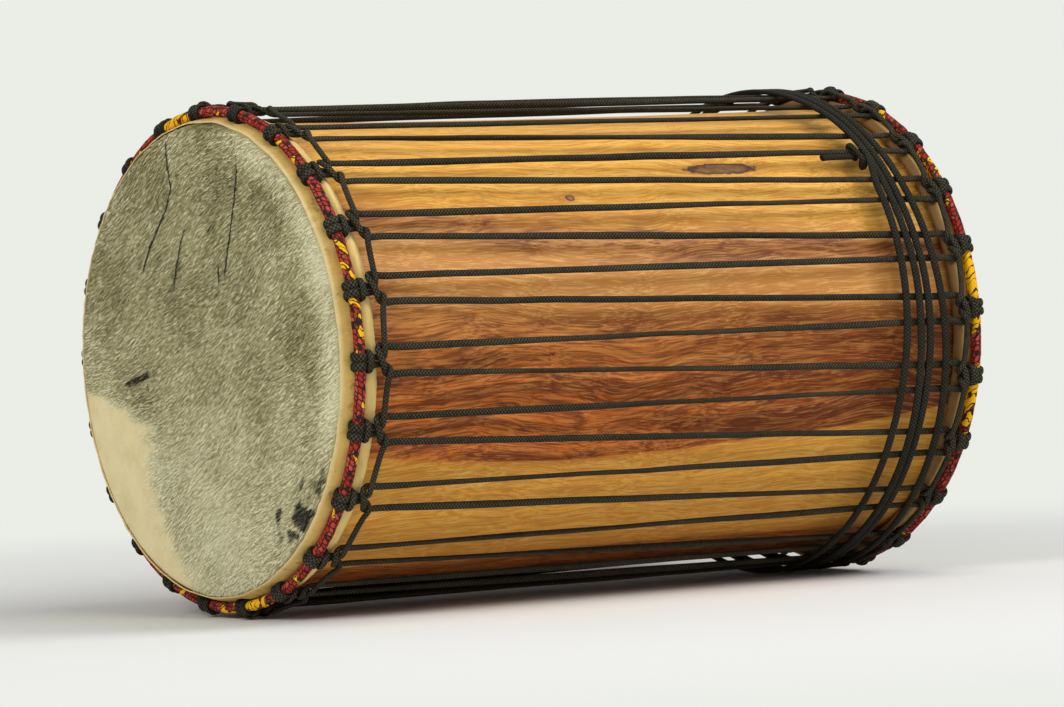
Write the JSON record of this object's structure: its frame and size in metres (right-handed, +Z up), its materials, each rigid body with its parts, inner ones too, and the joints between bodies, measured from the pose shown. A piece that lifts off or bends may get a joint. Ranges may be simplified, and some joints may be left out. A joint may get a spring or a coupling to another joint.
{
  "type": "dunun",
  "caption": "Large two-headed cylindrical wooden drum with hair-on skin heads, cloth-bound rings and braided rope lacing, lying on its side.",
  "frame": {"origin": "on the ground, below the middle of the drum", "axes": "+X along the drum's axis from the playing head to the rear head, +Y to the side away from the knot of the surplus rope, +Z up"},
  "size_m": [0.693, 0.4434, 0.4436],
  "materials": {
    "varnished_wood": "satin varnish over figured hardwood",
    "front_hide": "short grey-brown hair, shaved at the rim",
    "rear_hide": "short grey-brown hair, shaved at the rim",
    "ring_steel": "plain rod",
    "printed_cloth": "printed cotton",
    "black_rope": "braided polyester rope"
  },
  "bodies": {
    "root": {"shell": "varnished_wood", "front_skin": "front_hide", "rear_skin": "rear_hide", "front_flesh_ring": "ring_steel", "rear_flesh_ring": "ring_steel", "front_crown_ring": "ring_steel", "rear_crown_ring": "ring_steel", "front_ring_cloth": "printed_cloth", "rear_ring_cloth": "printed_cloth", "front_cradle_rope": "black_rope", "rear_cradle_rope": "black_rope", "lacing_rope": "black_rope", "surplus_rope": "black_rope"}
  },
  "joints": []
}
